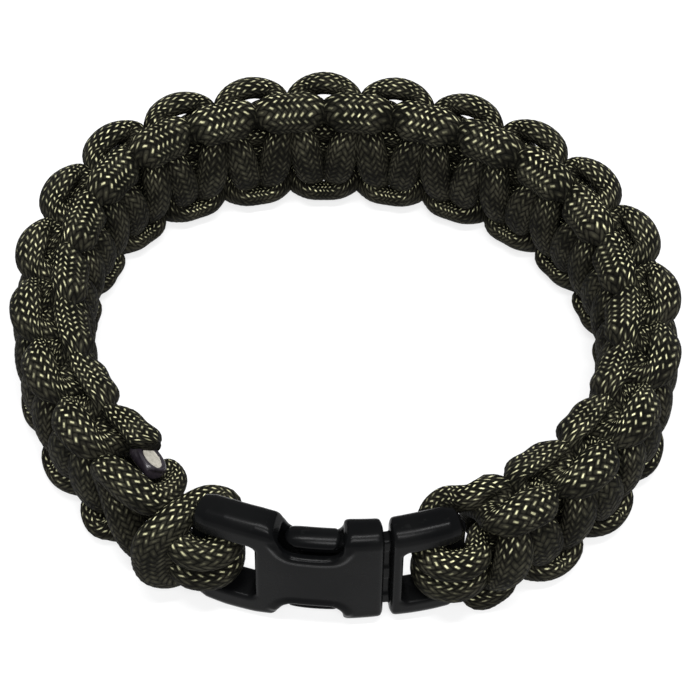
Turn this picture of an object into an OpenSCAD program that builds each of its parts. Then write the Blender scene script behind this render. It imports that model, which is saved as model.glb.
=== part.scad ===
// Paracord bracelet: a cobra weave of one cord on a curved side release buckle.
// The band is laid out straight first, as points [s, u, n]: s runs along the
// band from the middle of the buckle, u across it and n out of its outer face.
// The function spot() then bends it round the ring.

/* [Cord] */
// Diameter of the cord where it lies slack
cord_d = 4; // [3.8:0.05:4.1]
// Gap left between pieces that lie on each other
gap = 0.15; // [0.12:0.01:0.18]
/* [Band] */
// Width of the woven band, edge to edge
band_w = 18; // [17.8:0.1:19]
// Thickness of the woven band over its core
band_t = 9.6; // [9.4:0.1:10.5]
// Number of half knots from the plug to the socket
half_knots = 39; // [37:2:39]
/* [Ring] */
// Radius of the front arc, which both halves of the buckle follow
front_r = 37.8; // [36:0.1:40]
// Radius of the left arc, the tightest
left_r = 24.6; // [23:0.1:30]
// Angle of the front arc on the right of the buckle's middle
front_right_a = 38.3; // [36:0.1:44]
// Angle that the right arc turns
right_a = 116.8; // [108:0.1:118]
// Angle that the rear arc turns
rear_a = 53.2; // [50:0.1:56]
// Angle that the left arc turns
left_a = 44.3; // [38:0.1:46]
/* [Buckle] */
// Distance that the buckle's long edges lie inside the band's
buckle_in = 1; // [0.6:0.1:1.2]
// Thickness of both halves of the buckle
buckle_t = 4.4; // [4.2:0.1:4.8]
// Distance from the band's middle line out to the buckle's
buckle_out = 0.9; // [0.6:0.1:1.1]
// Turn of the buckle in its loops, which brings the socket's end forward
buckle_turn = 2; // [0:0.1:3]
// Radius of the buckle's rounded long edges
buckle_edge_r = 1.2; // [0.6:0.1:1.4]
// Length of the socket's body
socket_body_l = 14.4; // [13:0.1:16]
// Length of the gap that shows between the two halves
split = 0.8; // [0.5:0.1:1.2]
// Thickness of the plug's flange
flange_l = 1.3; // [1:0.1:2]
// Distance from the middle of the buckle to the bar at each end
bar_s = 15; // [14.8:0.1:16]
// Diameter of the bars that the cord is wrapped on
bar_d = 2.3; // [2:0.1:2.5]
// Width of the rails of each loop
rail_w = 2.9; // [2.7:0.1:3.1]
// Thickness of the socket's front and back walls
wall_t = 1; // [0.8:0.1:1.2]
// Thickness of the socket's side walls at its mouth
side_wall_t = 1.7; // [1.2:0.1:2]
// Distance from the middle of the buckle to the bridge over the prongs
bridge_s = 1.9; // [1.6:0.1:2.4]
// Length of the recess that shows each prong
press_l = 8; // [7:0.1:8.4]
// Depth of that recess
press_d = 3.6; // [3.2:0.1:3.8]
// Thickness of the finger pad on each prong
pad_t = 3.6; // [3:0.1:3.8]
// Width of each prong's arm
arm_w = 2; // [1.5:0.1:2.4]
// Clearance between the plug's prongs and the socket
prong_gap = 0.3; // [0.2:0.05:0.4]

/* [Hidden] */
cord_r = cord_d / 2;
edge_u = band_w / 2;
buckle_w = band_w - 2 * buckle_in;
loop_h = buckle_w - 2 * rail_w;
sides = 8;
deg = 180 / PI;
// The cord round a bar keeps this radius, and its turn this radius on the bar. The
// turn's chords of 30 degrees clear the bar by the gap.
wrap_r = 0.9 * cord_r;
turn_step = 30;
wrap_n = (bar_d / 2 + gap + wrap_r) / cos(turn_step / 2);
// The height of the bar at the plug's end, end +1, or the socket's, end -1.
function bar_n(end) = buckle_out - end * bar_s * sin(buckle_turn);

// The ring is five arcs, each [angle, radius], from the buckle's middle on. The right
// and rear radii follow from the ring closing on itself.
front_left_a = 360 - front_right_a - right_a - rear_a - left_a;
angles = [front_right_a, right_a, rear_a, left_a, front_left_a];
function outward(a) = [sin(a), -cos(a)];
function turned(i) = i == 0 ? 0 : turned(i - 1) + angles[i - 1];
function chord(i) = outward(turned(i + 1)) - outward(turned(i));
short_of = -front_r * (chord(0) + chord(4)) - left_r * chord(3);
right_r = cross(short_of, chord(2)) / cross(chord(1), chord(2));
rear_r = cross(chord(1), short_of) / cross(chord(1), chord(2));
radii = [front_r, right_r, rear_r, left_r, front_r];
last_arc = len(radii) - 1;
function passed(i) = i == 0 ? 0 : passed(i - 1) + angles[i - 1] * radii[i - 1] / deg;
// The centre of each arc, from that of the front arc.
function from_front(i) = i == 0 ? [0, 0]
    : from_front(i - 1) + (radii[i - 1] - radii[i]) * outward(turned(i));
arc_turn = [for (i = [0 : last_arc]) turned(i)];
arc_from = [for (i = [0 : last_arc]) passed(i)];
ring_len = passed(last_arc + 1);
// How far the ring reaches in direction a, and the shift that centres the bracelet.
function arc_facing(a) = max([for (i = [0 : last_arc]) arc_turn[i] <= a ? i : 0]);
function reach(a) = from_front(arc_facing(a)) * outward(a) + radii[arc_facing(a)];
front_reach = (front_r + bar_n(-1)) * cos(bar_s / front_r * deg) + wrap_n + wrap_r;
front_c = [reach(270) - reach(90), front_reach - reach(180) - band_t / 2] / 2;
arc_mid = [for (i = [0 : last_arc]) front_c + from_front(i)];

// The place of a straight band point [s, u, n] on the bent ring.
function arc_at(s) = max([for (i = [0 : last_arc]) arc_from[i] <= s ? i : 0]);
function spot(p) = let (
    s = p[0] < 0 ? p[0] + ring_len : p[0],
    i = arc_at(s),
    a = arc_turn[i] + (s - arc_from[i]) / radii[i] * deg,
    xy = arc_mid[i] + (radii[i] + p[2]) * outward(a))
    [xy[0], xy[1], p[1] + edge_u];

// Cord sections: rows of [s, u, n, half width, half height, tilt], as the weave
// squeezes it. The tilt turns the height direction towards the width's, and is 0
// where a row leaves it out.
function unit(v) = v / norm(v);
function place(row) = [row[0], row[1], row[2]];
function heading(rows, i) = unit(place(rows[min(i + 1, len(rows) - 1)]) - place(rows[max(i - 1, 0)]));
function square_to(v, t) = unit(v - (v * t) * t);

// One ring of a tube, across heading t with its height along b.
function section(row, t, b) = let (w = cross(b, t), tilt = len(row) > 5 ? row[5] : 0,
    h = cos(tilt) * b + sin(tilt) * w)
    [for (k = [0 : sides - 1]) let (a = 360 * k / sides)
        spot(place(row) + row[3] * cos(a) * cross(h, t) + row[4] * sin(a) * h)];

// Height directions: kept along n up to row count, and carried along from there.
face_n = [0, 0, 1];
function heights(rows, count) = concat(
    [for (i = [0 : 1 : count - 1]) square_to(face_n, heading(rows, i))],
    [for (i = count, b = square_to(face_n, heading(rows, max(count - 1, 0))); i < len(rows);
        i = i + 1, b = square_to(b, heading(rows, min(i, len(rows) - 1)))) square_to(b, heading(rows, i))]);

// A solid through rings of points, each ring with the same count.
module loft(rings) {
    n = len(rings[0]);
    end = (len(rings) - 1) * n;
    walls = [for (i = [0 : n : end - 1], k = [0 : n - 1])
        let (a = i + k, b = i + (k + 1) % n) each [[a, b + n, b], [a, a + n, b + n]]];
    ends = [for (k = [1 : n - 2]) each [[0, k, k + 1], [end, end + k + 1, end + k]]];
    polyhedron(points = [for (r = rings) each r], faces = concat(walls, ends));
}
module tube(rows, count) {
    up = heights(rows, count);
    loft([for (i = [0 : len(rows) - 1]) section(rows[i], heading(rows, i), up[i])]);
}

// Half a knot of a weaving cord: from the cap at one edge across the face to the
// next cap. s is a share of the half knot, u of the band's half width, n of the
// height of the pass, and the sizes are shares of the cord's radius. The caps lie
// flattened over the band's corners.
//          s      u      n      half width  half height  tilt
knot = [
    [0,     0.80,  -0.80, 1.12,  0.68, 45],  // middle of the cap
    [0.53,  0.785, -0.67, 0.81,  0.60, 42],  // shoulder of the cap
    [0.75,  0.60,  0,     0.42,  0.59, 0],   // leg, where it passes its neighbour
    [0.60,  0.26,  0.98,  0.92,  0.76, 0],   // pass over the core
];
pass_b = 0.76 * cord_r;
pass_n = band_t / 2 - pass_b;
first_s = bar_s + 1.5 * cord_r;
last_s = bar_s + 4.4 * cord_r;
// The first pass rides up over the cord that comes off the plug's bar.
first_lift = 1.28;
half = (ring_len - first_s - last_s) / half_knots;
function knot_row(k, r, su, sn, back) = [
    first_s + (k + (back ? 1 - r[0] : r[0])) * half,
    (back ? -1 : 1) * su * r[1] * edge_u,
    sn * r[2] * pass_n * (k == 0 && r[2] > 0.5 ? first_lift : 1),
    r[3] * cord_r,
    r[4] * cord_r,
    (back ? 1 : -1) * su * sn * r[5]];
// su is +1 where the cap of half knot k is at the top, sn is +1 for the cord on the outer face.
function half_knot(k, su, sn) = concat(
    [for (i = [0 : 3]) knot_row(k, knot[i], su, sn, false)],
    [for (i = [3 : -1 : 1]) knot_row(k, knot[i], su, sn, true)]);
function weave(su, sn) = [for (k = [0 : half_knots - 2])
    each half_knot(k, su * (k % 2 == 0 ? 1 : -1), sn)];

// The core and the ends of the cord are routed by hand: s is counted from a bar in
// halves of the cord's radius, u is a share of the band's half width and n of the
// height of the pass.
core_r = 0.64 * cord_r;
core_u = 0.167 * edge_u;
wrap_u = 0.235 * edge_u;
core_step = 2.4 * cord_r;
// The straight run of the core starts and ends this far from the bars.
core_from = bar_s + 3 * cord_r;
core_run = ring_len - 2 * bar_s - 7.75 * cord_r;
function routed(row, s0, side) = [s0 + row[0] * cord_r / 2, side * row[1] * edge_u, row[2] * pass_n, row[3], row[4]];
// Half a turn round a bar, from the outer face to the inner one.
function bar_turn(s0, way, a0, a1) = [for (a = [a0 : (a1 > a0 ? turn_step : -turn_step) : a1])
    [s0 + way * wrap_n * cos(a), wrap_u, bar_n(-way) + wrap_n * sin(a), wrap_r, wrap_r]];
// From the plug's bar back to the weave, behind the rails of the loop.
lead = [
    [-2.3, 0.33, -0.60, wrap_r, wrap_r],
    [-1.4, 0.46, -1.02, wrap_r, 0.78 * cord_r],
    [0.2,  0.60, -1.09, wrap_r, 0.75 * cord_r],
];
outer_lead = [
    [1.6, 0.67, -0.90, 0.85 * cord_r, 0.75 * cord_r],
    [3.1, 0.79, -0.58, 0.70 * cord_r, 0.74 * cord_r],
];
inner_lead = [
    [1.6, 0.78, -0.85, 0.80 * cord_r, 0.80 * cord_r],
    [2.25, 0.85, 0.0, 0.64 * cord_r, 0.78 * cord_r],
    [2.8, 0.84, 0.80, 0.62 * cord_r, 0.72 * cord_r],
];
// Off the plug's bar, under the first pass and into the weave.
core_in = [
    [1.7, 0.22, 0.92, 0.79 * cord_r, 0.79 * cord_r],
    [2.8, 0.19, 0.26, core_r, core_r],
    [3.8, 0.18, -0.08, core_r, core_r],
    [5.4, 0.167, 0, core_r, core_r],
];
// Out of the weave, under the hitch and onto the socket's bar.
core_out = [
    [-9.5, 0.167, 0, core_r, core_r],
    [-5.2, 0.17, 0, core_r, core_r],
    [-3.9, 0.19, 0.32, 0.74 * cord_r, 0.74 * cord_r],
    [-2.85, 0.21, 0.84, 0.78 * cord_r, 0.78 * cord_r],
    [-1.5, 0.23, 1.28, 0.85 * cord_r, 0.85 * cord_r],
];
// From behind the socket's rail, over the edge and across the outer face.
hitch = [
    [2.2,  0.33, -0.38, wrap_r, wrap_r],
    [1.5,  0.42, -0.73, wrap_r, 0.74 * cord_r],
    [0.4,  0.49, -0.77, wrap_r, 0.70 * cord_r],
    [-1.0, 0.61, -0.62, 0.85 * cord_r, 0.74 * cord_r],
    [-2.45, 0.71, 0.05, 0.78 * cord_r, 0.80 * cord_r],
    [-3.5, 0.63, 1.0, 0.84 * cord_r, 0.80 * cord_r],
    [-4.4, 0.35, 1.5, 1.02 * cord_r, 0.80 * cord_r],
];
socket_s = ring_len - bar_s;
core_n = ceil(core_run / core_step);
core_half = concat(
    [routed([-3.0, 0.27, -0.15, wrap_r, wrap_r], bar_s, 1)],
    bar_turn(bar_s, -1, 0, 90),
    [for (r = core_in) routed(r, bar_s, 1)],
    [for (i = [1 : core_n - 1]) [core_from + i * core_run / core_n, core_u, 0, core_r, core_r]],
    [for (r = core_out) routed(r, socket_s, 1)],
    bar_turn(socket_s, 1, 90, 0),
    [for (r = hitch) routed(r, socket_s, 1)]);
function swapped(rows) = [for (i = [len(rows) - 1 : -1 : 0])
    [rows[i][0], -rows[i][1], rows[i][2], rows[i][3], rows[i][4]]];

// The outer cord is cut off past its last cap, where its melted end lies on the top
// edge. The inner cord comes up past it, turns back along the edge and crosses the
// outer face once.
outer_end = [
    [-9.8, 0.80, -0.54, 0.66 * cord_r, 0.68 * cord_r],
    [-8.9, 0.82, -0.46, 0.68 * cord_r, 0.68 * cord_r],
    [-8.3, 0.83, -0.40, 0.62 * cord_r, 0.60 * cord_r],
];
inner_end = [
    [-12.2, -0.77, 0.49, 0.62 * cord_r, 0.78 * cord_r],
    [-12.0, -0.53, -0.12, 0.50 * cord_r, 0.50 * cord_r],
    [-11.2, -0.24, -0.96, 0.82 * cord_r, pass_b],
    [-9.8, 0.07, -0.98, 0.82 * cord_r, pass_b],
    [-8.0, 0.35, -0.94, 0.78 * cord_r, 0.74 * cord_r],
    [-6.1, 0.49, -0.70, 0.68 * cord_r, 0.68 * cord_r],
    [-5.5, 0.65, -0.08, 0.66 * cord_r, 0.68 * cord_r],
    [-6.3, 0.71, 0.54, 0.72 * cord_r, 0.76 * cord_r],
    [-7.8, 0.74, 0.87, 0.80 * cord_r, 0.84 * cord_r],
    [-9.9, 0.77, 0.93, 0.84 * cord_r, 0.86 * cord_r],
    [-11.8, 0.72, 0.92, 0.80 * cord_r, 0.80 * cord_r],
    [-13.0, 0.57, 0.90, 0.74 * cord_r, 0.74 * cord_r],
    [-12.5, 0.36, 0.92, 0.72 * cord_r, 0.72 * cord_r],
    [-11.3, 0.12, 1.00, 0.80 * cord_r, 0.76 * cord_r],
    [-10.2, -0.22, 1.03, 0.86 * cord_r, 0.76 * cord_r],
    [-9.1, -0.56, 0.88, 0.80 * cord_r, 0.74 * cord_r],
    [-8.4, -0.80, 0.40, 0.74 * cord_r, 0.70 * cord_r],
    [-8.1, -0.84, -0.25, 0.62 * cord_r, 0.62 * cord_r],
];

module core_cord() color("#3a3c2b") {
    middle = routed([-4.7, 0, 1.58, 1.05 * cord_r, 0.80 * cord_r], socket_s, 1);
    rows = concat(core_half, [middle], swapped(core_half));
    tube(rows, 0);
}
module outer_cord() color("#3a3c2b") {
    rows = concat([for (r = concat(lead, outer_lead)) routed(r, bar_s, 1)],
        [for (i = [1 : len(weave_outer) - 1]) weave_outer[i]],
        [for (r = outer_end) routed(r, socket_s, 1)]);
    tube(rows, len(rows));
}
module inner_cord() color("#44462f") {
    rows = concat([for (r = concat(lead, inner_lead)) routed(r, bar_s, -1)],
        [for (i = [1 : len(weave_inner) - 1]) weave_inner[i]],
        [for (r = inner_end) routed(r, socket_s, 1)]);
    tube(rows, len(rows) - len(inner_end));
}
last_k = half_knots - 1;
weave_outer = concat(weave(1, 1), [for (i = [0, 1]) knot_row(last_k, knot[i], 1, 1, false)]);
weave_inner = concat(weave(-1, -1), [knot_row(last_k, knot[0], -1, -1, false)]);

// Both halves of the buckle are curved with the front arc of the ring.

body_to = 4 / 9 * socket_body_l;
body_from = body_to - socket_body_l;
plug_from = body_to + split;
loop_end = bar_s + bar_d / 2;
rail_past = bar_d / 4;
hollow_t = buckle_t - 2 * wall_t;
hollow_h = buckle_w - 2 * side_wall_t;
press_s = bridge_s - press_l / 2;
// Outlines of the recess and of the finger pad in it, as shares of half its length
// along the band and of its depth in from the edge.
recess = [[-1.12, -0.3], [-1, 0], [-0.72, 0.67], [-0.55, 0.9], [-0.3, 1],
          [0.55, 1], [0.8, 0.89], [0.95, 0.64], [1, 0.33], [1, -0.3]];
pad = [[-0.70, 0.56], [-0.62, 0.42], [-0.4, 0.35], [0, 0.32], [0.72, 0.33],
       [0.88, 0.38], [0.93, 0.48], [0.93, 0.6], [0.78, 0.84], [-0.4, 0.84], [-0.57, 0.7]];
arm_u = hollow_h / 2 - prong_gap;
guide_w = 0.15 * buckle_w;
guide_from = press_s - press_l / 8;
prong_t = hollow_t - 2 * prong_gap;
root = plug_from + flange_l / 2;
// The web between the prongs, which fills the split in front of the flange.
neck_l = split;
neck_u = arm_u - arm_w / 2;
neck_t = 0.7 * prong_t;
buckle_r = front_r + buckle_out;

// A frame on the buckle's middle line: x along it, y across it and z out of its face.
module on_buckle(s) {
    translate([front_c[0], front_c[1], edge_u])
        rotate([0, 0, s / front_r * deg]) translate([0, -buckle_r, 0]) rotate([90, 0, 0]) children();
}
// A stretch from s0 to s1 between heights u0 and u1, t thick.
module slab(s0, s1, u0, u1, t) {
    translate([front_c[0], front_c[1], edge_u]) rotate([0, 0, s0 / front_r * deg - 90])
        rotate_extrude(angle = (s1 - s0) / front_r * deg, $fn = 96)
            translate([buckle_r - t / 2, u0]) square([t, u1 - u0]);
}
function rounded(w, h, r) = [for (q = [0 : 3], a = [0 : 22.5 : 90])
    let (x = q == 0 || q == 3 ? w / 2 - r : r - w / 2, y = q < 2 ? h / 2 - r : r - h / 2)
    [x + r * cos(90 * q + a), y + r * sin(90 * q + a)]];
// The outer form of each half: rows of [s, share of the width, share of the thickness].
corner_r = buckle_edge_r / 4;
socket_form = [[-bar_s - rail_past, 0.96, 0.6], [-bar_s, 1.03, 0.88], [-bar_s + bar_d / 2, 1.06, 1],
    [-0.77 * bar_s, 1.08, 1], [body_from, 1.07, 1], [-0.37 * bar_s, 1.03, 1], [-0.17 * bar_s, 1, 1],
    [0.2 * bar_s, 1, 1], [body_to - corner_r, 0.99, 0.98], [body_to, 0.965, 0.92]];
plug_form = [[plug_from, 0.965, 0.92], [plug_from + corner_r, 0.99, 0.98], [0.64 * bar_s, 1, 1],
    [0.8 * bar_s, 1.01, 1], [bar_s - bar_d / 2, 1.01, 1], [bar_s, 0.98, 0.88], [bar_s + rail_past, 0.92, 0.6]];
module shell(form) {
    loft([for (f = form) [for (p = rounded(f[2] * buckle_t, f[1] * buckle_w, f[2] * buckle_edge_r))
        spot([f[0], -p[1], buckle_out + p[0]])]]);
}
// Turns a half of the buckle about the middle of the front arc.
module turned_in_loops() {
    translate([front_c[0], front_c[1] - buckle_r, 0]) rotate([0, 0, buckle_turn])
        translate([-front_c[0], buckle_r - front_c[1], 0]) children();
}
module bar(end) {
    translate(spot([end * bar_s, 0, bar_n(end)])) cylinder(d = bar_d, h = loop_h + rail_w / 3, center = true, $fn = 32);
}
// One of the outlines above at the edge given by side, t thick.
module at_edge(outline, side, t) {
    on_buckle(press_s) mirror([0, side < 0 ? 1 : 0, 0]) linear_extrude(t, center = true)
        polygon([for (p = outline) [p[0] * press_l / 2, buckle_w / 2 - p[1] * press_d]]);
}

module buckle_socket() color("#1b1c1c") {
    turned_in_loops() difference() {
        shell(socket_form);
        slab(-loop_end - bar_d, body_from, -loop_h / 2, loop_h / 2, 2 * buckle_t);
        slab(body_from + wall_t, body_to + wall_t, -hollow_h / 2, hollow_h / 2, hollow_t);
        for (side = [-1, 1]) at_edge(recess, side, 2 * buckle_t);
    }
    bar(-1);
}
module buckle_plug() color("#1b1c1c") {
    turned_in_loops() {
        difference() {
            shell(plug_form);
            slab(plug_from + flange_l, loop_end + bar_d, -loop_h / 2, loop_h / 2, 2 * buckle_t);
        }
        slab(guide_from, root, -guide_w / 2, guide_w / 2, prong_t);
        slab(body_to - neck_l, plug_from + flange_l / 3, -neck_u, neck_u, neck_t);
        for (side = [-1, 1]) {
            mid_u = side * (arm_u - arm_w / 2);
            slab(guide_from, root, mid_u - arm_w / 2, mid_u + arm_w / 2, prong_t);
            at_edge(pad, side, pad_t);
        }
    }
    bar(1);
}
buckle_socket();
buckle_plug();
core_cord();
outer_cord();
inner_cord();
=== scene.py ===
"""Paracord bracelet: the braided cord and the moulded buckle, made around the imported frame.

Shapes are laid out straight in millimetres, as points [s, u, n]: s runs along the band
from the middle of the buckle, u across it and n out of its outer face. bend() then
takes them round the ring and into metres.
"""

import math

import bpy
import numpy as np
from mathutils import Matrix, Vector


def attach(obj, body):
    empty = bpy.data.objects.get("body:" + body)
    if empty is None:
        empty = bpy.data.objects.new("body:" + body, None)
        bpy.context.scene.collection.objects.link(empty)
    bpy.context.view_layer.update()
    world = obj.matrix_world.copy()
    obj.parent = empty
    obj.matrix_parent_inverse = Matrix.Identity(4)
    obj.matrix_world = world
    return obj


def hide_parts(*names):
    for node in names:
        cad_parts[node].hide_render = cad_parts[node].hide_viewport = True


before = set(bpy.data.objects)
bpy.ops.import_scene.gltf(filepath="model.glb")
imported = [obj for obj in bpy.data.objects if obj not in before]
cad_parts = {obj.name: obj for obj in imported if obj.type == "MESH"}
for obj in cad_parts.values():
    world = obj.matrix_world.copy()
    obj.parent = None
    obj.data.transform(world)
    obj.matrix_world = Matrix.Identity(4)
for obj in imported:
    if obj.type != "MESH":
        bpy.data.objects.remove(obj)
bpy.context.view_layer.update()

MM = 0.001

# Driving sizes, in millimetres and degrees
CORD_D = 4.0
GAP = 0.15  # between the cord and what it wraps
BAND_W = 18.0
BAND_T = 9.6
HALF_KNOTS = 39

# The ring's arcs: radii of the front and left ones, and the angle that each takes up
FRONT_R = 37.8
LEFT_R = 24.6
FRONT_RIGHT_A = 38.3
RIGHT_A = 116.8
REAR_A = 53.2
LEFT_A = 44.3

# The buckle, with its parts' places along s where the name ends in S
BUCKLE_W = 16.6
BUCKLE_T = 4.4
BUCKLE_OUT = 0.9
BUCKLE_TURN = 2.0
EDGE_R = 1.7
END_R = 0.8
BODY_L = 14.4
SPLIT = 0.8
FLANGE_L = 1.3
BAR_S = 15.0
BAR_D = 2.3
LOOP_H = 10.2
WALL_T = 1.0
SIDE_WALL_T = 1.7
BRIDGE_S = 1.9
PRESS_L = 8.0
PRESS_D = 3.6
PAD_T = 3.6
ARM_W = 2.0
PRONG_GAP = 0.3

# Derived sizes
CORD_R = CORD_D / 2
EDGE_U = BAND_W / 2
WRAP_R = 0.9 * CORD_R
TURN_STEP = 30
WRAP_N = (BAR_D / 2 + GAP + WRAP_R) / math.cos(math.radians(TURN_STEP / 2))


def bar_n(end):
    """The height of the bar at the plug's end, end +1, or the socket's, end -1."""
    return BUCKLE_OUT - end * BAR_S * math.sin(math.radians(BUCKLE_TURN))


# The ring is five arcs. The right and rear radii follow from the ring closing on itself.
def outward(degrees):
    a = np.radians(degrees)
    return np.stack([np.sin(a), -np.cos(a)], axis=-1)


def cross2(a, b):
    return a[0] * b[1] - a[1] * b[0]


FRONT_LEFT_A = 360 - FRONT_RIGHT_A - RIGHT_A - REAR_A - LEFT_A
arc_angles = np.array([FRONT_RIGHT_A, RIGHT_A, REAR_A, LEFT_A, FRONT_LEFT_A])
arc_turn = np.concatenate([[0.0], np.cumsum(arc_angles)[:-1]])
chords = outward(arc_turn + arc_angles) - outward(arc_turn)
short_of = -FRONT_R * (chords[0] + chords[4]) - LEFT_R * chords[3]
right_r = cross2(short_of, chords[2]) / cross2(chords[1], chords[2])
rear_r = cross2(chords[1], short_of) / cross2(chords[1], chords[2])
arc_radii = np.array([FRONT_R, right_r, rear_r, LEFT_R, FRONT_R])
arc_lengths = np.radians(arc_angles) * arc_radii
arc_from = np.concatenate([[0.0], np.cumsum(arc_lengths)[:-1]])
RING_LEN = float(arc_lengths.sum())
steps = (arc_radii[:-1] - arc_radii[1:])[:, None] * outward(arc_turn[1:])
from_front = np.concatenate([np.zeros((1, 2)), np.cumsum(steps, axis=0)])


def reach(degrees):
    """How far the ring's middle line reaches one way from the centre of the front arc."""
    i = int(np.searchsorted(arc_turn, degrees, side="right")) - 1
    return float(from_front[i] @ outward(degrees)) + arc_radii[i]


bar_y = (FRONT_R + bar_n(-1)) * math.cos(BAR_S / FRONT_R)
front_reach = bar_y + WRAP_N + WRAP_R
front_c = np.array([reach(270) - reach(90), front_reach - reach(180) - BAND_T / 2]) / 2
arc_mid = front_c + from_front


def bend(points, turned=False):
    """Straight points [s, u, n] in mm, bent round the ring, in metres. The buckle's own
    turn about the vertical comes on top where turned says so."""
    s = np.where(points[:, 0] < 0, points[:, 0] + RING_LEN, points[:, 0])
    i = np.searchsorted(arc_from, s, side="right") - 1
    a = arc_turn[i] + np.degrees((s - arc_from[i]) / arc_radii[i])
    xy = arc_mid[i] + (arc_radii[i] + points[:, 2])[:, None] * outward(a)
    if turned:
        pivot = front_c + np.array([0, -(FRONT_R + BUCKLE_OUT)])
        t = math.radians(BUCKLE_TURN)
        spin = np.array([[math.cos(t), math.sin(t)], [-math.sin(t), math.cos(t)]])
        xy = (xy - pivot) @ spin + pivot
    return np.column_stack([xy, points[:, 1] + EDGE_U]) * MM


# Node helpers
def new_material(name):
    mat = bpy.data.materials.new(name)
    mat.use_nodes = True
    nodes = mat.node_tree.nodes
    return mat, nodes, mat.node_tree.links, nodes["Principled BSDF"]


class Maths:
    """Builds shader maths from plain calls."""

    def __init__(self, tree):
        self.nodes = tree.nodes
        self.links = tree.links

    def put(self, socket, value):
        if isinstance(value, (int, float)):
            socket.default_value = value
        else:
            self.links.new(value, socket)

    def do(self, operation, *values, clamp=False):
        node = self.nodes.new("ShaderNodeMath")
        node.operation = operation
        node.use_clamp = clamp
        for socket, value in zip(node.inputs, values):
            self.put(socket, value)
        return node.outputs[0]

    def ramp(self, value, low, high, to_low=0.0, to_high=1.0):
        node = self.nodes.new("ShaderNodeMapRange")
        node.interpolation_type = "SMOOTHSTEP"
        for socket, number in zip(node.inputs, (value, low, high, to_low, to_high)):
            self.put(socket, number)
        return node.outputs[0]

    def mix(self, share, first, second):
        node = self.nodes.new("ShaderNodeMix")
        node.data_type = "RGBA"
        self.put(node.inputs["Factor"], share)
        for socket, colour in ((node.inputs[6], first), (node.inputs[7], second)):
            if isinstance(colour, tuple):
                socket.default_value = (*colour, 1)
            else:
                self.links.new(colour, socket)
        return node.outputs[2]

    def noise(self, scale, detail, vector):
        node = self.nodes.new("ShaderNodeTexNoise")
        node.inputs["Scale"].default_value = scale
        node.inputs["Detail"].default_value = detail
        self.links.new(vector, node.inputs["Vector"])
        return node.outputs[0]

    def vector(self, x, y, z):
        node = self.nodes.new("ShaderNodeCombineXYZ")
        for socket, value in zip(node.inputs, (x, y, z)):
            self.put(socket, value)
        return node.outputs[0]

    def bump(self, height, distance, strength, under=None):
        node = self.nodes.new("ShaderNodeBump")
        node.inputs["Strength"].default_value = strength
        node.inputs["Distance"].default_value = distance
        self.links.new(height, node.inputs["Height"])
        if under is not None:
            self.links.new(under, node.inputs["Normal"])
        return node.outputs[0]


# Braid: carriers of two families cross slantwise, each over two and under two. The UV
# map "lay" counts them: columns round the cord, and pitches of BRAID_PITCH mm along it.
CARRIER_COLUMNS = 18
BRAID_PITCH = 0.86
REPEAT = 4.0
CORD_DARK = (0.007, 0.0067, 0.0048)
CORD_WORN = (0.027, 0.0256, 0.0178)
# Painted shade in the grooves between the floats.
CORD_GROOVE_SHADE = (0.0025, 0.0025, 0.002)
# Painted highlight: the glints on the floats' backs where they face up.
CORD_PAINTED_GLINT = (0.80, 0.78, 0.47)
CORD_RELIEF_M = 0.00012
FIBRE_RELIEF_M = 0.00002

PLASTIC_DARK = (0.0022, 0.0023, 0.0025)
PLASTIC_LIGHT = (0.0038, 0.0039, 0.0040)
PLASTIC_SCUFF = (0.014, 0.014, 0.014)
PLASTIC_RELIEF_M = 0.00001

YARN_DARK = (0.20, 0.185, 0.155)
YARN_LIGHT = (0.55, 0.52, 0.45)
RIM_DARK = (0.006, 0.005, 0.007)
RIM_LIGHT = (0.024, 0.019, 0.025)
MELT_RELIEF_M = 0.00008


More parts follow.
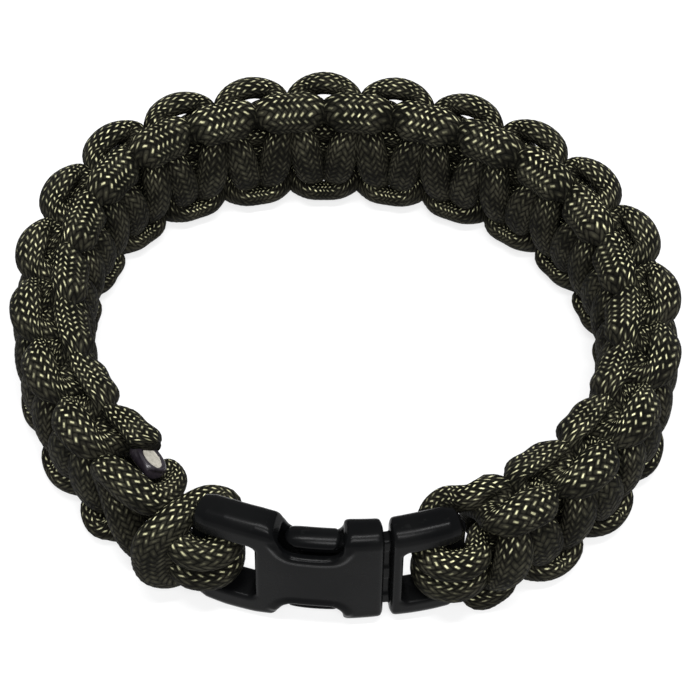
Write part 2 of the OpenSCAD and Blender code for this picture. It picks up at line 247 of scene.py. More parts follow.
def braid_material():
    mat, nodes, links, shader = new_material("braided_nylon")
    m = Maths(mat.node_tree)
    lay = nodes.new("ShaderNodeUVMap")
    lay.uv_map = "lay"
    split = nodes.new("ShaderNodeSeparateXYZ")
    links.new(lay.outputs[0], split.inputs[0])
    round_, along = split.outputs[0], split.outputs[1]
    one = m.do("ADD", round_, along)
    two = m.do("SUBTRACT", round_, along)
    one_no = m.do("FLOOR", one)
    two_no = m.do("FLOOR", two)
    sum_no = m.do("ADD", one_no, two_no)
    second_over = m.do("GREATER_THAN", m.do("FLOORED_MODULO", sum_no, REPEAT), 1.5)

    def choose(first, second):
        node = nodes.new("ShaderNodeMix")
        links.new(second_over, node.inputs["Factor"])
        links.new(first, node.inputs[2])
        links.new(second, node.inputs[3])
        return node.outputs[0]

    across = m.do("SUBTRACT", m.do("FRACT", choose(two, one)), 0.5)
    off_middle = m.do("ABSOLUTE", across)
    run_one = m.do("FLOORED_MODULO", m.do("ADD", one, two_no), REPEAT)
    run_two = m.do("FLOORED_MODULO", m.do("ADD", one_no, two), REPEAT)
    run = choose(run_one, m.do("SUBTRACT", run_two, REPEAT / 2))
    crest = m.do("SINE", m.do("MULTIPLY", run, math.pi / 2))
    crown = m.do("SUBTRACT", 1.0, m.do("POWER", m.do("MULTIPLY", off_middle, 2.0), 2.0))
    height = m.do("MULTIPLY", crown, m.ramp(crest, -0.1, 0.9, 0.3, 1.0))

    # The floats carry a painted highlight along their backs where they face up, and each differs a
    # little.
    carrier = choose(two_no, one_no)
    float_no = m.do("FLOOR", m.do("DIVIDE", sum_no, 2.0))
    chance = nodes.new("ShaderNodeTexWhiteNoise")
    links.new(m.vector(carrier, float_no, second_over), chance.inputs["Vector"])
    bright = m.ramp(chance.outputs[0], 0.0, 0.85, 0.42, 1.0)
    narrow = m.ramp(off_middle, 0.04, 0.25, 1.0, 0.0)
    core = m.do("MULTIPLY", narrow, m.ramp(crest, 0.72, 0.99))
    geometry = nodes.new("ShaderNodeNewGeometry")
    facing = nodes.new("ShaderNodeSeparateXYZ")
    links.new(geometry.outputs["Normal"], facing.inputs[0])
    place = nodes.new("ShaderNodeTexCoord").outputs["Object"]
    # Patches where the painted highlight is weaker.
    glint_patches = m.ramp(m.noise(260.0, 3.0, place), 0.35, 0.65, 0.6, 1.0)
    # The painted highlight shows on faces that turn up and fades on the sides, as if lit from
    # above.
    upward = m.ramp(facing.outputs[2], 0.40, 0.84, 0.04, 1.0)
    share = m.do("MULTIPLY", m.do("MULTIPLY", bright, core), m.do("MULTIPLY", glint_patches, upward))
    fibre = m.ramp(m.noise(2600.0, 4.0, place), 0.3, 0.7, 0.6, 1.3)
    worn = m.ramp(m.noise(420.0, 3.0, place), 0.35, 0.7)
    # Painted shade darkens the grooves, where the braid stands low; elsewhere the cord's own dark
    # and worn tones mix at random.
    dark = m.mix(m.ramp(height, 0.0, 0.7), CORD_GROOVE_SHADE, m.mix(worn, CORD_DARK, CORD_WORN))
    colour = m.mix(m.do("MULTIPLY", share, fibre, clamp=True), dark, CORD_PAINTED_GLINT)
    links.new(colour, shader.inputs["Base Color"])
    shader.inputs["Roughness"].default_value = 0.68
    shader.inputs["Specular IOR Level"].default_value = 0.03
    fine = m.bump(m.noise(3800.0, 3.0, place), FIBRE_RELIEF_M, 0.5)
    links.new(m.bump(height, CORD_RELIEF_M, 0.9, fine), shader.inputs["Normal"])
    return mat


def plastic_material():
    mat, nodes, links, shader = new_material("satin_black_plastic")
    m = Maths(mat.node_tree)
    place = nodes.new("ShaderNodeTexCoord").outputs["Object"]
    cloud = m.noise(140.0, 3.0, place)
    grain = m.noise(5200.0, 2.0, place)
    scuff = m.ramp(m.noise(900.0, 5.0, place), 0.62, 0.74)
    clean = m.mix(m.ramp(cloud, 0.3, 0.7), PLASTIC_DARK, PLASTIC_LIGHT)
    colour = m.mix(m.do("MULTIPLY", scuff, 0.2), clean, PLASTIC_SCUFF)
    links.new(colour, shader.inputs["Base Color"])
    rough = m.ramp(m.do("ADD", cloud, m.do("MULTIPLY", scuff, 0.3)), 0.2, 1.0, 0.22, 0.36)
    links.new(rough, shader.inputs["Roughness"])
    shader.inputs["Specular IOR Level"].default_value = 0.05
    links.new(m.bump(grain, PLASTIC_RELIEF_M, 0.6), shader.inputs["Normal"])
    return mat


def melted_material():
    mat, nodes, links, shader = new_material("melted_nylon")
    m = Maths(mat.node_tree)
    cut = nodes.new("ShaderNodeAttribute")
    cut.attribute_name = "cut_face"
    place = nodes.new("ShaderNodeTexCoord").outputs["Object"]
    shift = m.do("MULTIPLY", m.do("SUBTRACT", m.noise(1500.0, 4.0, place), 0.5), 0.7)
    ragged = m.do("ADD", cut.outputs["Fac"], shift)
    yarn = m.mix(m.noise(2400.0, 4.0, place), YARN_DARK, YARN_LIGHT)
    rim = m.mix(m.noise(1200.0, 3.0, place), RIM_DARK, RIM_LIGHT)
    links.new(m.mix(m.ramp(ragged, 0.42, 0.6), rim, yarn), shader.inputs["Base Color"])
    links.new(m.ramp(ragged, 0.4, 0.6, 0.3, 0.75), shader.inputs["Roughness"])
    links.new(m.bump(m.noise(1800.0, 4.0, place), MELT_RELIEF_M, 0.8), shader.inputs["Normal"])
    return mat


def put_piece(name, points, faces, material, slot, *nodes):
    """A piece of the visual model, which stands in for the CAD nodes that are named."""
    mesh = bpy.data.meshes.new(name)
    mesh.from_pydata(points.tolist(), [], faces)
    mesh.validate()
    mesh.update()
    mesh.shade_smooth()
    piece = bpy.data.objects.new(name, mesh)
    bpy.context.scene.collection.objects.link(piece)
    mesh.materials.append(material)
    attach(piece, "root")
    if nodes:
        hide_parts(*nodes)
    return piece


# The cord's rows are [s, u, n, half width, half height, tilt], as the weave squeezes
# it. For one half knot s is in half pitches, u in half band widths, n in heights of the
# pass, the sizes are in radii of the cord and the tilt is in degrees. The caps lie
# flattened over the band's corners, blunter on the outer strand, +1, than on the inner
# one, -1.
KNOT = {
    1: [
        [0, 0.80, -0.72, 1.24, 0.62, 46],  # middle of the cap
        [0.61, 0.78, -0.65, 1.20, 0.68, 44],  # shoulder of the cap
        [0.77, 0.60, 0, 0.56, 0.96, 0],  # leg, where it passes its neighbour
        [0.60, 0.26, 0.98, 1.04, 0.76, 0],  # pass over the core
    ],
    -1: [
        [0, 0.80, -0.93, 1.16, 0.70, 46],  # the same four places
        [0.53, 0.765, -0.82, 1.00, 0.68, 44],
        [0.76, 0.60, 0, 0.56, 0.90, 0],
        [0.60, 0.26, 0.98, 1.04, 0.76, 0],
    ],
}
PASS_N = BAND_T / 2 - 0.76 * CORD_R
# How much further out the middle and the shoulder of a cap lie than KNOT says: at the
# top edge by strand, and at the bottom edge.
TOP_RISE = {1: [0.07, 0.06], -1: [0.06, 0.01]}
BOTTOM_RISE = [0.02, -0.03]
FIRST_S = BAR_S + 3
LAST_S = BAR_S + 8.8  # the weave's end, counted back from the middle of the buckle
FIRST_LIFT = 1.28  # the first pass lies higher, over the plug's end of the core
HALF = (RING_LEN - FIRST_S - LAST_S) / HALF_KNOTS
CORE_R = 0.64 * CORD_R
CORE_U = 0.167 * EDGE_U
CORE_STEP = 4.8
CORE_FROM = 6  # where the core's even run starts, counted from the plug's bar
CORE_TO = 9.5  # and where it ends, counted back from the socket's
WRAP_U = 0.235 * EDGE_U
SOCKET_S = RING_LEN - BAR_S


def knot_row(k, row, su, sn, back):
    """One row of KNOT in place: half knot k, its cap at the side su, on the face sn. With
    back the strand returns from the pass to the next cap, at the other side."""
    s, u, n, w, h, tilt = row
    lift = FIRST_LIFT if k == 0 and n > 0.5 else 1
    if n < 0:
        rise = TOP_RISE[sn] if (-su if back else su) > 0 else BOTTOM_RISE
        u += rise[0 if s == 0 else 1]
    return [
        FIRST_S + (k + (1 - s if back else s)) * HALF,
        (-1 if back else 1) * su * u * EDGE_U,
        sn * n * PASS_N * lift,
        w * CORD_R,
        h * CORD_R,
        (1 if back else -1) * su * sn * tilt,
    ]


def weave(su, sn):
    """All half knots of one weaving cord but the last. su is +1 where the first cap is
    at the top, and sn is +1 for the cord on the outer face."""
    rows = []
    for k in range(HALF_KNOTS - 1):
        side = su * (1 if k % 2 == 0 else -1)
        rows += [knot_row(k, r, side, sn, False) for r in KNOT[sn]]
        rows += [knot_row(k, r, side, sn, True) for r in KNOT[sn][:0:-1]]
    return rows


def routed(rows, s0, side=1):
    """Rows whose s is counted from s0, u in half band widths, n in heights of the pass
    and sizes in radii of the cord."""
    return [
        [s0 + s, side * u * EDGE_U, n * PASS_N, w * CORD_R, h * CORD_R, 0]
        for s, u, n, w, h in rows
    ]


def bar_turn(s0, way, angles):
    """Rows round the bar at s0. At angle 0 the cord is beside the bar, on the side of it
    that way says, and at 90 degrees it is over it."""
    rows = []
    for a in np.radians(angles):
        s = s0 + way * WRAP_N * math.cos(a)
        n = bar_n(-way) + WRAP_N * math.sin(a)
        rows.append([s, WRAP_U, n, WRAP_R, WRAP_R, 0])
    return rows


# Rows for routed(), counted from the plug's bar for the leads, CORE_START and CORE_IN,
# and from the socket's bar for the others.
LEAD = [
    [-2.3, 0.33, -0.60, 0.90, 0.90],
    [-1.4, 0.46, -1.02, 0.90, 0.78],
    [0.2, 0.60, -1.09, 0.90, 0.75],
]
OUTER_LEAD = [
    [1.6, 0.67, -0.90, 0.85, 0.75],
    [3.1, 0.79, -0.58, 0.70, 0.74],
]
INNER_LEAD = [
    [1.6, 0.78, -0.85, 0.80, 0.80],
    [2.25, 0.85, 0.0, 0.64, 0.78],
    [2.8, 0.84, 0.80, 0.62, 0.72],
]
CORE_START = [[-3.0, 0.27, -0.15, 0.90, 0.90]]
CORE_IN = [
    [1.7, 0.22, 0.92, 0.79, 0.79],
    [2.8, 0.19, 0.26, 0.64, 0.64],
    [3.8, 0.18, -0.08, 0.64, 0.64],
    [5.4, 0.167, 0, 0.64, 0.64],
]
CORE_OUT = [
    [-9.5, 0.167, 0, 0.64, 0.64],
    [-5.2, 0.25, -0.05, 0.88, 0.82],
    [-3.9, 0.21, 0.16, 0.80, 0.76],
    [-2.85, 0.21, 0.68, 0.76, 0.76],
    [-1.5, 0.23, 1.22, 0.85, 0.85],
]
HITCH = [
    [2.2, 0.33, -0.38, 0.90, 0.90],
    [1.5, 0.42, -0.73, 0.90, 0.74],
    [0.4, 0.45, -0.70, 0.90, 0.70],
    [-0.8, 0.51, -0.44, 0.86, 0.74],
    [-1.8, 0.55, 0.30, 0.86, 0.82],
    [-2.5, 0.53, 1.16, 1.02, 0.82],
    [-3.3, 0.32, 1.66, 1.24, 0.80],
]
HITCH_MIDDLE = [[-3.5, 0, 1.74, 1.30, 0.80]]
OUTER_END = [
    [-9.8, 0.80, -0.54, 0.68, 0.70],
    [-8.9, 0.82, -0.46, 0.70, 0.70],
    [-8.3, 0.83, -0.40, 0.62, 0.60],
]
INNER_END = [
    [-12.2, -0.77, 0.49, 0.62, 0.78],
    [-12.0, -0.53, -0.12, 0.50, 0.50],
    [-11.2, -0.24, -0.96, 0.82, 0.76],
    [-9.8, 0.07, -0.98, 0.82, 0.76],
    [-8.0, 0.35, -0.94, 0.78, 0.74],
    [-6.3, 0.41, -0.70, 0.70, 0.70],
    [-5.5, 0.49, 0.08, 0.76, 0.76],
    [-6.1, 0.59, 0.80, 0.90, 0.88],
    [-7.7, 0.71, 1.00, 1.00, 0.90],
    [-9.8, 0.76, 1.02, 1.00, 0.92],
    [-11.6, 0.71, 0.98, 0.88, 0.82],
    [-12.7, 0.57, 0.92, 0.78, 0.76],
    [-11.7, 0.36, 0.94, 0.82, 0.74],
    [-10.1, 0.12, 1.04, 0.96, 0.76],
    [-8.8, -0.22, 1.08, 1.04, 0.76],
    [-7.8, -0.56, 0.92, 0.94, 0.74],
    [-7.3, -0.80, 0.40, 0.80, 0.70],
    [-7.1, -0.84, -0.25, 0.62, 0.62],
]


def core_rows():
    run = SOCKET_S - BAR_S - (CORE_FROM + CORE_TO)
    count = math.ceil(run / CORE_STEP)
    start = BAR_S + CORE_FROM
    middle = [
        [start + i * run / count, CORE_U, 0, CORE_R, CORE_R, 0] for i in range(1, count)
    ]
    half = routed(CORE_START, BAR_S) + bar_turn(BAR_S, -1, [0, 30, 60, 90])
    half += routed(CORE_IN, BAR_S) + middle + routed(CORE_OUT, SOCKET_S)
    half += bar_turn(SOCKET_S, 1, [90, 60, 30, 0]) + routed(HITCH, SOCKET_S)
    other = [[s, -u, n, w, h, 0] for s, u, n, w, h, _ in reversed(half)]
    return half + routed(HITCH_MIDDLE, SOCKET_S) + other


def outer_rows():
    last = [knot_row(HALF_KNOTS - 1, r, 1, 1, False) for r in KNOT[1][:2]]
    woven = weave(1, 1)[1:] + last
    return routed(LEAD + OUTER_LEAD, BAR_S) + woven + routed(OUTER_END, SOCKET_S)


def inner_rows():
    woven = weave(-1, -1)[1:] + [knot_row(HALF_KNOTS - 1, KNOT[-1][0], -1, -1, False)]
    return routed(LEAD + INNER_LEAD, BAR_S, -1) + woven + routed(INNER_END, SOCKET_S)


ROUND = 32  # points round the cord
RING_STEP = BRAID_PITCH * 0.5
RELIEF = 0.05  # height of the braid that is in the mesh
LUMP = 0.03  # slow unevenness of the cord's radius
PLUMP = 1.05  # radius of the soft cord against the solid one's
SQUARE = 2.35  # exponent of the section, 2 for an ellipse
KNOT_SPACING = 0.6  # exponent on the distance between rows, which keeps turns round
OUTER_FROM = 1.3  # where the braid ends under the melted bead


def run_lengths(points, power=1.0):
    """The length along a run of points up to each, every step raised to the power."""
    steps = np.linalg.norm(np.diff(points, axis=0), axis=1)
    return np.concatenate([[0], np.cumsum(steps**power)])


def smooth_rows(rows, fine=24):
    """A smooth run through the rows, at even steps along its length. It returns the rows
    of the run, the length at each of them, and the length at each row that came in."""
    p = np.array(rows, float)
    knots = run_lengths(p[:, :3], KNOT_SPACING)
    slope = np.gradient(p, knots, axis=0)
    runs = []
    for i in range(len(p) - 1):
        t = np.linspace(0, 1, fine, endpoint=False)[:, None]
        d = knots[i + 1] - knots[i]
        runs.append(
            (2 * t**3 - 3 * t**2 + 1) * p[i]
            + (t**3 - 2 * t**2 + t) * d * slope[i]
            + (3 * t**2 - 2 * t**3) * p[i + 1]
            + (t**3 - t**2) * d * slope[i + 1]
        )
    path = np.concatenate(runs + [p[-1:]])
    length = run_lengths(path[:, :3])
    at = np.arange(0, length[-1], RING_STEP)
    even = np.column_stack([np.interp(at, length, path[:, c]) for c in range(6)])
    return even, at, np.interp(np.arange(len(p)) * fine, np.arange(len(length)), length)


def unit(v):
    return v / np.maximum(np.linalg.norm(v, axis=-1, keepdims=True), 1e-9)


def up_along(way, carried):
    """Height directions, out of the band's face, but carried along where told so."""
    face = np.array([0.0, 0.0, 1.0])
    up = unit(face - (way @ face)[:, None] * way)
    for i in range(1, len(way)):
        if carried[i]:
            up[i] = unit(up[i - 1] - (up[i - 1] @ way[i]) * way[i])
    return up


def braid_height(round_, along):
    """How high the braid stands, from 0 to 1, at a place on the cord's surface."""
    one, two = round_ + along, round_ - along
    over = np.mod(np.floor(one) + np.floor(two), 4) < 2
    across = np.where(over, two, one) % 1 - 0.5
    return 1 - (2 * across) ** 2


def squared(v):
    """A sine or cosine, changed to give a section that is a little square."""
    return np.sign(v) * np.abs(v) ** (2 / SQUARE)


def make_cord(name, node, rows, at, way, up, material, rounded_end):
    """A braided tube through the rows, with the UV map its material reads."""
    k = np.arange(ROUND)
    a = 2 * np.pi * k / ROUND
    side, rise = squared(np.cos(a)), squared(np.sin(a))
    lean = np.radians(rows[:, 5])[:, None]
    up = np.cos(lean) * up + np.sin(lean) * np.cross(up, way)
    across = np.cross(up, way)
    # Slow waves along the cord shift its braid and vary its size.
    wander = 0.6 * np.sin(at / 17.0) + 0.4 * np.sin(at / 7.3 + 1.0)
    round_, along = np.meshgrid((k / ROUND) * CARRIER_COLUMNS, at / BRAID_PITCH)
    lift = RELIEF * (braid_height(round_, along) - 0.5)
    lump = LUMP * np.sin(at / 2.9 + 2 * np.sin(at / 11.0))[:, None]
    size = PLUMP + (lift + lump) / CORD_R
    shrink = np.ones(len(rows))
    if rounded_end:
        d = at[-1] - at
        dome = np.sqrt(np.maximum(1 - (1 - d / CORE_R) ** 2, 0.02))
        shrink = np.where(d < CORE_R, dome, shrink)
    w = (rows[:, 3] * shrink)[:, None, None]
    h = (rows[:, 4] * shrink)[:, None, None]
    ring = rows[:, None, :3] + size[..., None] * (
        w * side[None, :, None] * across[:, None, :] + h * rise[None, :, None] * up[:, None, :]
    )
    points = bend(ring.reshape(-1, 3))
    # The soft cord lies flat where it rests.
    points[:, 2] = np.maximum(points[:, 2], 0)
    faces = []
    count = len(rows)
    for i in range(count - 1):
        for j in range(ROUND):
            q = (j + 1) % ROUND
            here, ahead = i * ROUND, (i + 1) * ROUND
            faces.append((here + j, here + q, ahead + q, ahead + j))
    faces.append(tuple(range(ROUND - 1, -1, -1)))
    faces.append(tuple((count - 1) * ROUND + j for j in range(ROUND)))
    piece = put_piece(name, points, faces, material, "cord", node)
    layer = piece.data.uv_layers.new(name="lay")
    loops = np.empty(len(piece.data.loops), int)
    piece.data.loops.foreach_get("vertex_index", loops)
    ring_no, k_no = loops // ROUND, loops % ROUND
    u = k_no.astype(float)
    # A face that closes the tube has columns from both ends of the count.
    quad = np.arange((count - 1) * ROUND * 4).reshape(-1, 4)
    wraps = u[quad].max(axis=1) - u[quad].min(axis=1) > 2
    seam = quad[wraps]
    u[seam] = np.where(u[seam] == 0, ROUND, u[seam])
    v = at[ring_no] / BRAID_PITCH + wander[ring_no]
    uv = np.column_stack([u / ROUND * CARRIER_COLUMNS, v])
    layer.data.foreach_set("uv", uv.ravel())


def make_cords():
    """One length of cord: outer strand, core and inner strand, in that order."""
    outer = [[*row[:5], -row[5]] for row in reversed(outer_rows())]
    core, inner = core_rows(), inner_rows()
    rows, at, place = smooth_rows(outer + core + inner)
    way = unit(np.gradient(rows[:, :3], axis=0))
    core_from, core_to = place[len(outer)], place[len(outer) + len(core) - 1]
    end_from = place[len(outer) + len(core) + len(inner) - len(INNER_END)]
    carried = ((at > core_from) & (at < core_to)) | (at > end_from)
    up = up_along(way, carried)
    material = braid_material()
    start, first, last = np.searchsorted(at, [OUTER_FROM, core_from, core_to])
    for name, node, i, j, rounded_end in (
        ("cord_outer", "outer_cord", start, first + 1, False),
        ("cord_core", "core_cord", first, last + 1, False),
        ("cord_inner", "inner_cord", last, len(at), True),
    ):
        cut = slice(i, j)
        make_cord(name, node, rows[cut], at[cut], way[cut], up[cut], material, rounded_end)


# Solid shapes as fields: negative inside, in the straight layout.
def both(a, b, soft):
    """Where both shapes are, with a rounded edge."""
    h = np.maximum(soft - np.abs(a - b), 0) / soft
    return np.maximum(a, b) + h * h * soft / 4


def less(a, b, soft):
    """The first shape without the second."""
    return both(a, -b, soft)


def either(a, b, soft):
    """Both shapes joined, with a rounded corner between them."""
    return -both(-a, -b, soft)


def block(p, low, high, edge):
    """A box between two corners, with its edges rounded."""
    low, high = np.array(low, float), np.array(high, float)
    q = np.abs(p - (low + high) / 2) - (high - low) / 2 + edge
    outside = np.linalg.norm(np.maximum(q, 0), axis=1)
    return outside + np.minimum(q.max(axis=1), 0) - edge


def round_outline(points, fine=8):
    """A closed smooth curve through given corner points."""
    p = np.array(points, float)
    a, b, c, d = np.roll(p, 1, 0), p, np.roll(p, -1, 0), np.roll(p, -2, 0)
    t = np.linspace(0, 1, fine, endpoint=False)[:, None, None]
    curve = b + 0.5 * t * (c - a + t * (2 * a - 5 * b + 4 * c - d + t * (3 * (b - c) + d - a)))
    return curve.transpose(1, 0, 2).reshape(-1, 2)


def outline_field(x, y, outline):
    """Distance to a closed outline, negative inside it."""
    p, q = outline, np.roll(outline, -1, 0)
    best = np.full(len(x), 1e9)
    inside = np.zeros(len(x), bool)
    for (x0, y0), (x1, y1) in zip(p, q):
        ex, ey = x1 - x0, y1 - y0
        t = np.clip(((x - x0) * ex + (y - y0) * ey) / (ex * ex + ey * ey + 1e-12), 0, 1)
        best = np.minimum(best, np.hypot(x - x0 - t * ex, y - y0 - t * ey))
        crosses = (y0 > y) != (y1 > y)
        inside ^= crosses & (x < x0 + (y - y0) * ex / (ey if abs(ey) > 1e-12 else 1e-12))
    return np.where(inside, -best, best)


def bulk(p, form):
    """The outer form of a half of the buckle: rows of [s, width share, thickness share]."""
    s, wide, thick = np.array(form).T
    half_u = np.interp(p[:, 0], s, wide) * BUCKLE_W / 2
    half_n = np.interp(p[:, 0], s, thick) * BUCKLE_T / 2
    qu = np.abs(p[:, 1]) - half_u + EDGE_R
    qn = np.abs(p[:, 2]) - half_n + EDGE_R
    outside = np.hypot(np.maximum(qu, 0), np.maximum(qn, 0))
    section = outside + np.minimum(np.maximum(qu, qn), 0) - EDGE_R
    return both(both(section, s[0] - p[:, 0], END_R), p[:, 0] - s[-1], END_R)


def bar_field(p, end):
    """The round bar across a loop, let into both rails."""
    rod = np.hypot(p[:, 0] - end * BAR_S, p[:, 2]) - BAR_D / 2
    return np.maximum(rod, np.abs(p[:, 1]) - LOOP_H / 2 - BAR_INTO_RAIL)


BAR_INTO_RAIL = 0.6
BODY_TO = 6.4
BODY_FROM = BODY_TO - BODY_L
PLUG_FROM = BODY_TO + SPLIT
RAIL_PAST = BAR_D / 4
HOLLOW_T = BUCKLE_T - 2 * WALL_T
HOLLOW_H = BUCKLE_W - 2 * SIDE_WALL_T
PRESS_S = BRIDGE_S - PRESS_L / 2
ARM_U = HOLLOW_H / 2 - PRONG_GAP
GUIDE_W = 2.4
PRONG_T = HOLLOW_T - 2 * PRONG_GAP
NECK_L = 0.8
NECK_U = ARM_U - 0.2
NECK_T = 0.7 * PRONG_T
LIP_R = 0.55
LIP_DOWN = 0.3
LIP_W = 1.6
PAD_EDGE = 2.2
FAR = 9.0  # well past the buckle on any side
# Outlines at a long edge, as shares of half the recess's length and of its depth
RECESS = [
    [-1.12, -0.3], [-1, 0], [-0.72, 0.67], [-0.55, 0.9], [-0.3, 1],
    [0.55, 1], [0.8, 0.89], [0.95, 0.64], [1, 0.33], [1, -0.3],
]
PAD = [
    [-0.70, 0.56], [-0.62, 0.42], [-0.4, 0.35], [0, 0.32], [0.72, 0.33],
    [0.88, 0.38], [0.93, 0.48], [0.93, 0.6], [0.78, 0.84], [-0.4, 0.84], [-0.57, 0.7],
]
# Rows of [s, width share, thickness share] along each half
SOCKET_FORM = [
    [-BAR_S - RAIL_PAST, 0.96, 0.6], [-BAR_S, 1.03, 0.88], [-BAR_S + BAR_D / 2, 1.06, 1],
    [-0.77 * BAR_S, 1.08, 1], [BODY_FROM, 1.07, 1], [-0.37 * BAR_S, 1.03, 1], [-0.17 * BAR_S, 1, 1],
    [0.2 * BAR_S, 1, 1], [BODY_TO - 0.3, 0.99, 0.98], [BODY_TO, 0.965, 0.92],
]
PLUG_FORM = [
    [PLUG_FROM, 0.965, 0.92], [PLUG_FROM + 0.3, 0.99, 0.98], [0.64 * BAR_S, 1, 1],
    [0.8 * BAR_S, 1.01, 1], [BAR_S - BAR_D / 2, 1.01, 1], [BAR_S, 0.98, 0.88],
    [BAR_S + RAIL_PAST, 0.92, 0.6],
]


def edge_outline(shares):
    half = PRESS_L / 2
    return round_outline([[PRESS_S + s * half, BUCKLE_W / 2 - d * PRESS_D] for s, d in shares])


def middle_block(p, s_from, s_to, u, n, edge):
    """A block about the band's middle, which reaches u to each side and n up and down."""
    return block(p, [s_from, -u, -n], [s_to, u, n], edge)


def socket_field(p):
    shape = bulk(p, SOCKET_FORM)
    window = middle_block(p, -BAR_S - FAR, BODY_FROM, LOOP_H / 2, FAR, 0.9)
    shape = less(shape, window, 0.7)
    hollow_from = BODY_FROM + WALL_T
    hollow = middle_block(p, hollow_from, BODY_TO + FAR, HOLLOW_H / 2, HOLLOW_T / 2, 0.3)
    shape = less(shape, hollow, 0.2)
    recess = edge_outline(RECESS)
    for side in (-1, 1):
        rim = outline_field(p[:, 0], side * p[:, 1], recess)
        lip = np.hypot(rim - LIP_R, np.abs(p[:, 2]) - BUCKLE_T / 2 + LIP_DOWN) - LIP_R
        lip = both(lip, side * p[:, 1] - BUCKLE_W / 2 + LIP_W, 0.8)
        shape = less(either(shape, lip, 0.35), rim, 0.45)
    return either(shape, bar_field(p, -1), 0.5)


def plug_field(p):
    shape = bulk(p, PLUG_FORM)
    window = middle_block(p, PLUG_FROM + FLANGE_L, BAR_S + FAR, LOOP_H / 2, FAR, 0.9)
    shape = less(shape, window, 0.6)
    shape = either(shape, bar_field(p, 1), 0.5)
    root = PLUG_FROM + FLANGE_L / 2
    guide = middle_block(p, PRESS_S - 1, root, GUIDE_W / 2, PRONG_T / 2, 0.3)
    neck = middle_block(p, BODY_TO - NECK_L, root, NECK_U, NECK_T / 2, 0.2)
    shape = either(either(shape, guide, 0.3), neck, 0.3)
    pad = edge_outline(PAD)
    for side in (-1, 1):
        u0, u1 = sorted((side * ARM_U, side * (ARM_U - ARM_W)))
        arm = block(p, [PRESS_S - PRESS_L / 8, u0, -PRONG_T / 2], [root, u1, PRONG_T / 2], 0.35)
        flat = outline_field(p[:, 0], side * p[:, 1], pad)
        knob = both(flat, np.abs(p[:, 2]) - PAD_T / 2, PAD_EDGE)
        shape = either(shape, either(arm, knob, 0.3), 0.3)
    return shape


def surface_of(field, low, high, step):
    """Quads on the zero surface of a field, one point in each grid cell that it crosses."""
    axes = [np.arange(a, b + step, step) for a, b in zip(low, high)]
    shape = tuple(len(a) for a in axes)
    grid = np.stack(np.meshgrid(*axes, indexing="ij"), axis=-1).reshape(-1, 3)
    value = field(grid).reshape(shape)
    inner = value < 0
    cells = tuple(n - 1 for n in shape)
    total = np.zeros(cells + (3,))
    hits = np.zeros(cells)
    for axis in range(3):
        others = [c for c in range(3) if c != axis]
        a = [slice(None)] * 3
        b = [slice(None)] * 3
        a[axis], b[axis] = slice(0, -1), slice(1, None)
        va, vb = value[tuple(a)], value[tuple(b)]
        crossed = inner[tuple(a)] != inner[tuple(b)]
        share = np.where(crossed, va / np.where(crossed, va - vb, 1), 0)
        for d0 in (0, 1):
            for d1 in (0, 1):
                cut = [slice(None)] * 3
                cut[others[0]] = slice(d0, shape[others[0]] - 1 + d0)
                cut[others[1]] = slice(d1, shape[others[1]] - 1 + d1)
                here = crossed[tuple(cut)]
                hits += here
                total[..., axis] += np.where(here, share[tuple(cut)], 0)
                total[..., others[0]] += here * d0
                total[..., others[1]] += here * d1
    used = hits > 0
    number = np.full(cells, -1)
    number[used] = np.arange(used.sum())
    corner = np.stack(np.nonzero(used), axis=-1)
    points = np.array(low) + (corner + total[used] / hits[used][:, None]) * step
    faces = []
    for axis in range(3):
        u, v = (axis + 1) % 3, (axis + 2) % 3
        a = [slice(1, -1)] * 3
        b = [slice(1, -1)] * 3
        a[axis], b[axis] = slice(0, -1), slice(1, None)
        ia, ib = inner[tuple(a)], inner[tuple(b)]
        for mask, flip in ((ia & ~ib, False), (~ia & ib, True)):
            at = np.stack(np.nonzero(mask), axis=-1)
            at[:, u] += 1
            at[:, v] += 1
            ring = []
            for du, dv in ((-1, -1), (0, -1), (0, 0), (-1, 0)):
                c = at.copy()
                c[:, u] += du
                c[:, v] += dv
                ring.append(number[c[:, 0], c[:, 1], c[:, 2]])
            quad = np.stack(ring[::-1] if flip else ring, axis=-1)
            faces.append(quad)
    for _ in range(2):
        points = onto(field, points)
    return points, np.concatenate(faces).tolist()


def onto(field, points):
    """Moves points the last little way onto the field's zero surface."""
    eps = 0.01
    f = field(points)
    slope = np.empty_like(points)
    for c in range(3):
        step = np.zeros(3)
        step[c] = eps
        slope[:, c] = (field(points + step) - field(points - step)) / (2 * eps)
    move = (f / np.maximum((slope**2).sum(axis=1), 0.25))[:, None] * slope
    return points - np.clip(move, -0.08, 0.08)


FIELD_STEP = 0.16
MELT_STEP = 0.12


def make_half(name, field, s_from, s_to, node, material):
    """One half of the buckle, from its field. The grid holds its widest shares."""
    half_u = 0.56 * BUCKLE_W
    half_n = 0.56 * BUCKLE_T
    margin = 3 * FIELD_STEP
    low = [s_from - margin, -half_u - margin, -half_n - margin]
    high = [s_to + margin, half_u + margin, half_n + margin]
    points, faces = surface_of(field, low, high, FIELD_STEP)
    points[:, 2] += BUCKLE_OUT
    put_piece(name, bend(points, turned=True), faces, material, "buckle_plastic", node)


def make_buckle():
    material = plastic_material()
    rail_end = BAR_S + RAIL_PAST
    make_half("socket_half", socket_field, -rail_end, BODY_TO, "buckle_socket", material)
    prong_end = PRESS_S - PRESS_L / 2
    make_half("plug_half", plug_field, prong_end, rail_end, "buckle_plug", material)


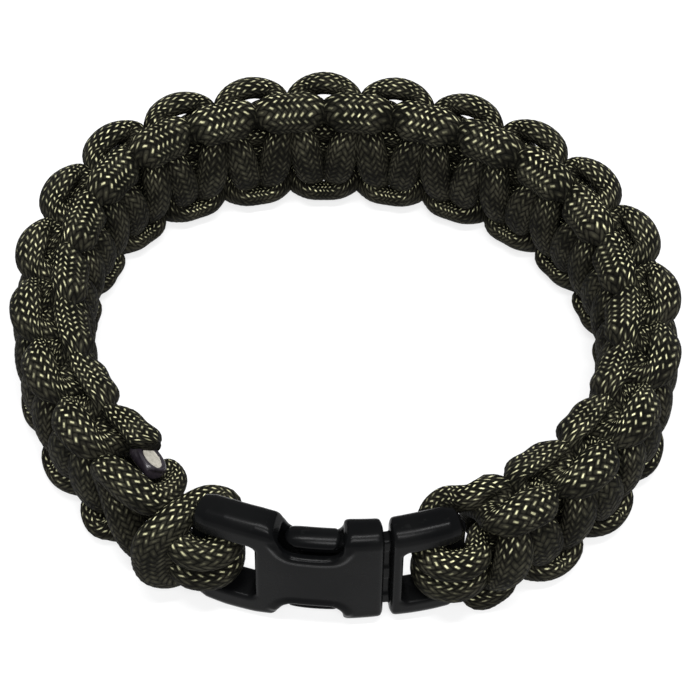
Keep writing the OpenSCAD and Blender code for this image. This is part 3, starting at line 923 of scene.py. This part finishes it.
def make_melted_end():
    """The sealed end of the outer strand: a slanted cut with a melted bead round it. The
    cut lies at cut_n along its slant, and is an oval, longer along the strand."""
    stretch, cut_n, bead_r = 1.35, 0.3, 0.26
    tail = np.array(routed(OUTER_END, SOCKET_S))
    start, tip = tail[0, :3], tail[-1, :3]
    way = unit(tip - start)
    slant = unit(np.array([0.25, 0.75, -0.58]))
    middle = tip - 0.35 * way + np.array([-0.3, -0.4, 0.5])
    radius = 0.86 * CORD_R
    tangent = unit(way - (way @ slant) * slant)
    side = np.cross(slant, tangent)

    def field(p):
        q = p - middle
        run = q @ way
        stick = np.linalg.norm(q - run[:, None] * way, axis=1) - radius
        body = both(both(stick, q @ slant - 0.35, 0.3), -run - 2.6, 0.5)
        flat = q - (q @ slant - cut_n)[:, None] * slant
        x, y = flat @ tangent / stretch, flat @ side
        ring = np.hypot(np.hypot(x, y) - 0.92 * radius, q @ slant - cut_n) - bead_r
        return either(both(body, run - 1.9, 0.5), both(ring, run - 2.1, 0.3), 0.25)

    low, high = middle - 3.4, middle + 3.2
    points, faces = surface_of(field, low, high, MELT_STEP)
    q = points - middle
    x, y = q @ tangent / stretch, q @ side
    on_cut = (np.hypot(x, y) < 0.72 * radius) & (q @ slant > 0.1)
    piece = put_piece("melted_end", bend(points), faces, melted_material(), "cord")
    cut = piece.data.attributes.new("cut_face", "FLOAT", "POINT")
    cut.data.foreach_set("value", on_cut.astype(float))


def make_floor():
    mat, _, _, shader = new_material("pale_floor")
    shader.inputs["Base Color"].default_value = (0.28, 0.28, 0.28, 1)
    shader.inputs["Emission Color"].default_value = (1, 1, 1, 1)
    shader.inputs["Emission Strength"].default_value = 0.72
    shader.inputs["Roughness"].default_value = 0.9
    shader.inputs["Specular IOR Level"].default_value = 0.1
    mesh = bpy.data.meshes.new("floor")
    half_m = 1.5
    corners = [(x * half_m, y * half_m, 0) for x, y in ((-1, -1), (1, -1), (1, 1), (-1, 1))]
    mesh.from_pydata(corners, [], [(0, 1, 2, 3)])
    mesh.materials.append(mat)
    floor = bpy.data.objects.new("floor", mesh)
    bpy.context.scene.collection.objects.link(floor)


# The camera's place is given about the middle of the front arc, as the photograph shows
# it: angles in radians, lengths in millimetres.
CAMERA_RISE = 0.895
CAMERA_FAR = 354.165
PLAN_TURN = -0.07
PLAN_SHIFT = (1.403, 2.559)
CAMERA_ROLL = 0.015
IMAGE_PX = 700
FOCAL_PX = 2742.8
SHIFT_PX = (9.209, 29.0)


def make_camera():
    back = Vector((0, -math.cos(CAMERA_RISE), math.sin(CAMERA_RISE)))
    right = Vector((1, 0, 0))
    up = back.cross(right)
    turn = Matrix.Rotation(-PLAN_TURN, 3, "Z")
    cr, sr = math.cos(CAMERA_ROLL), math.sin(CAMERA_ROLL)
    axes = [turn @ v for v in (cr * right + sr * up, cr * up - sr * right, back)]
    place = turn @ (back * CAMERA_FAR - Vector((*PLAN_SHIFT, 0))) + Vector((*front_c, 0))
    data = bpy.data.cameras.new("camera")
    data.sensor_width = 36
    data.lens = FOCAL_PX / IMAGE_PX * data.sensor_width
    data.shift_x = SHIFT_PX[0] / IMAGE_PX
    data.shift_y = SHIFT_PX[1] / IMAGE_PX
    data.clip_start, data.clip_end = 0.01, 10
    camera = bpy.data.objects.new("camera", data)
    bpy.context.scene.collection.objects.link(camera)
    pose = Matrix([[a[i] for a in axes] for i in range(3)]).to_4x4()
    pose.translation = place * MM
    camera.matrix_world = pose
    bpy.context.scene.camera = camera


def add_area(name, place, size, power):
    """A lamp that faces the origin, its place and size in metres."""
    data = bpy.data.lights.new(name, "AREA")
    data.shape = "RECTANGLE"
    data.size, data.size_y = size
    data.energy = power
    lamp = bpy.data.objects.new(name, data)
    lamp.location = place
    lamp.rotation_euler = Vector(place).to_track_quat("Z", "Y").to_euler()
    bpy.context.scene.collection.objects.link(lamp)


def make_light():
    add_area("top_box", (0.03, -0.12, 0.60), (0.42, 0.05), 3.6)
    add_area("front_box", (0.06, -0.36, 0.47), (0.18, 0.13), 1.9)
    world = bpy.data.worlds.new("studio")
    world.use_nodes = True
    sky = world.node_tree.nodes["Background"]
    sky.inputs["Color"].default_value = (0.95, 0.97, 1, 1)
    sky.inputs["Strength"].default_value = 0.50
    bpy.context.scene.world = world
    bpy.context.scene.view_settings.view_transform = "Standard"


make_camera()
make_cords()
make_buckle()
make_melted_end()
make_floor()
make_light()
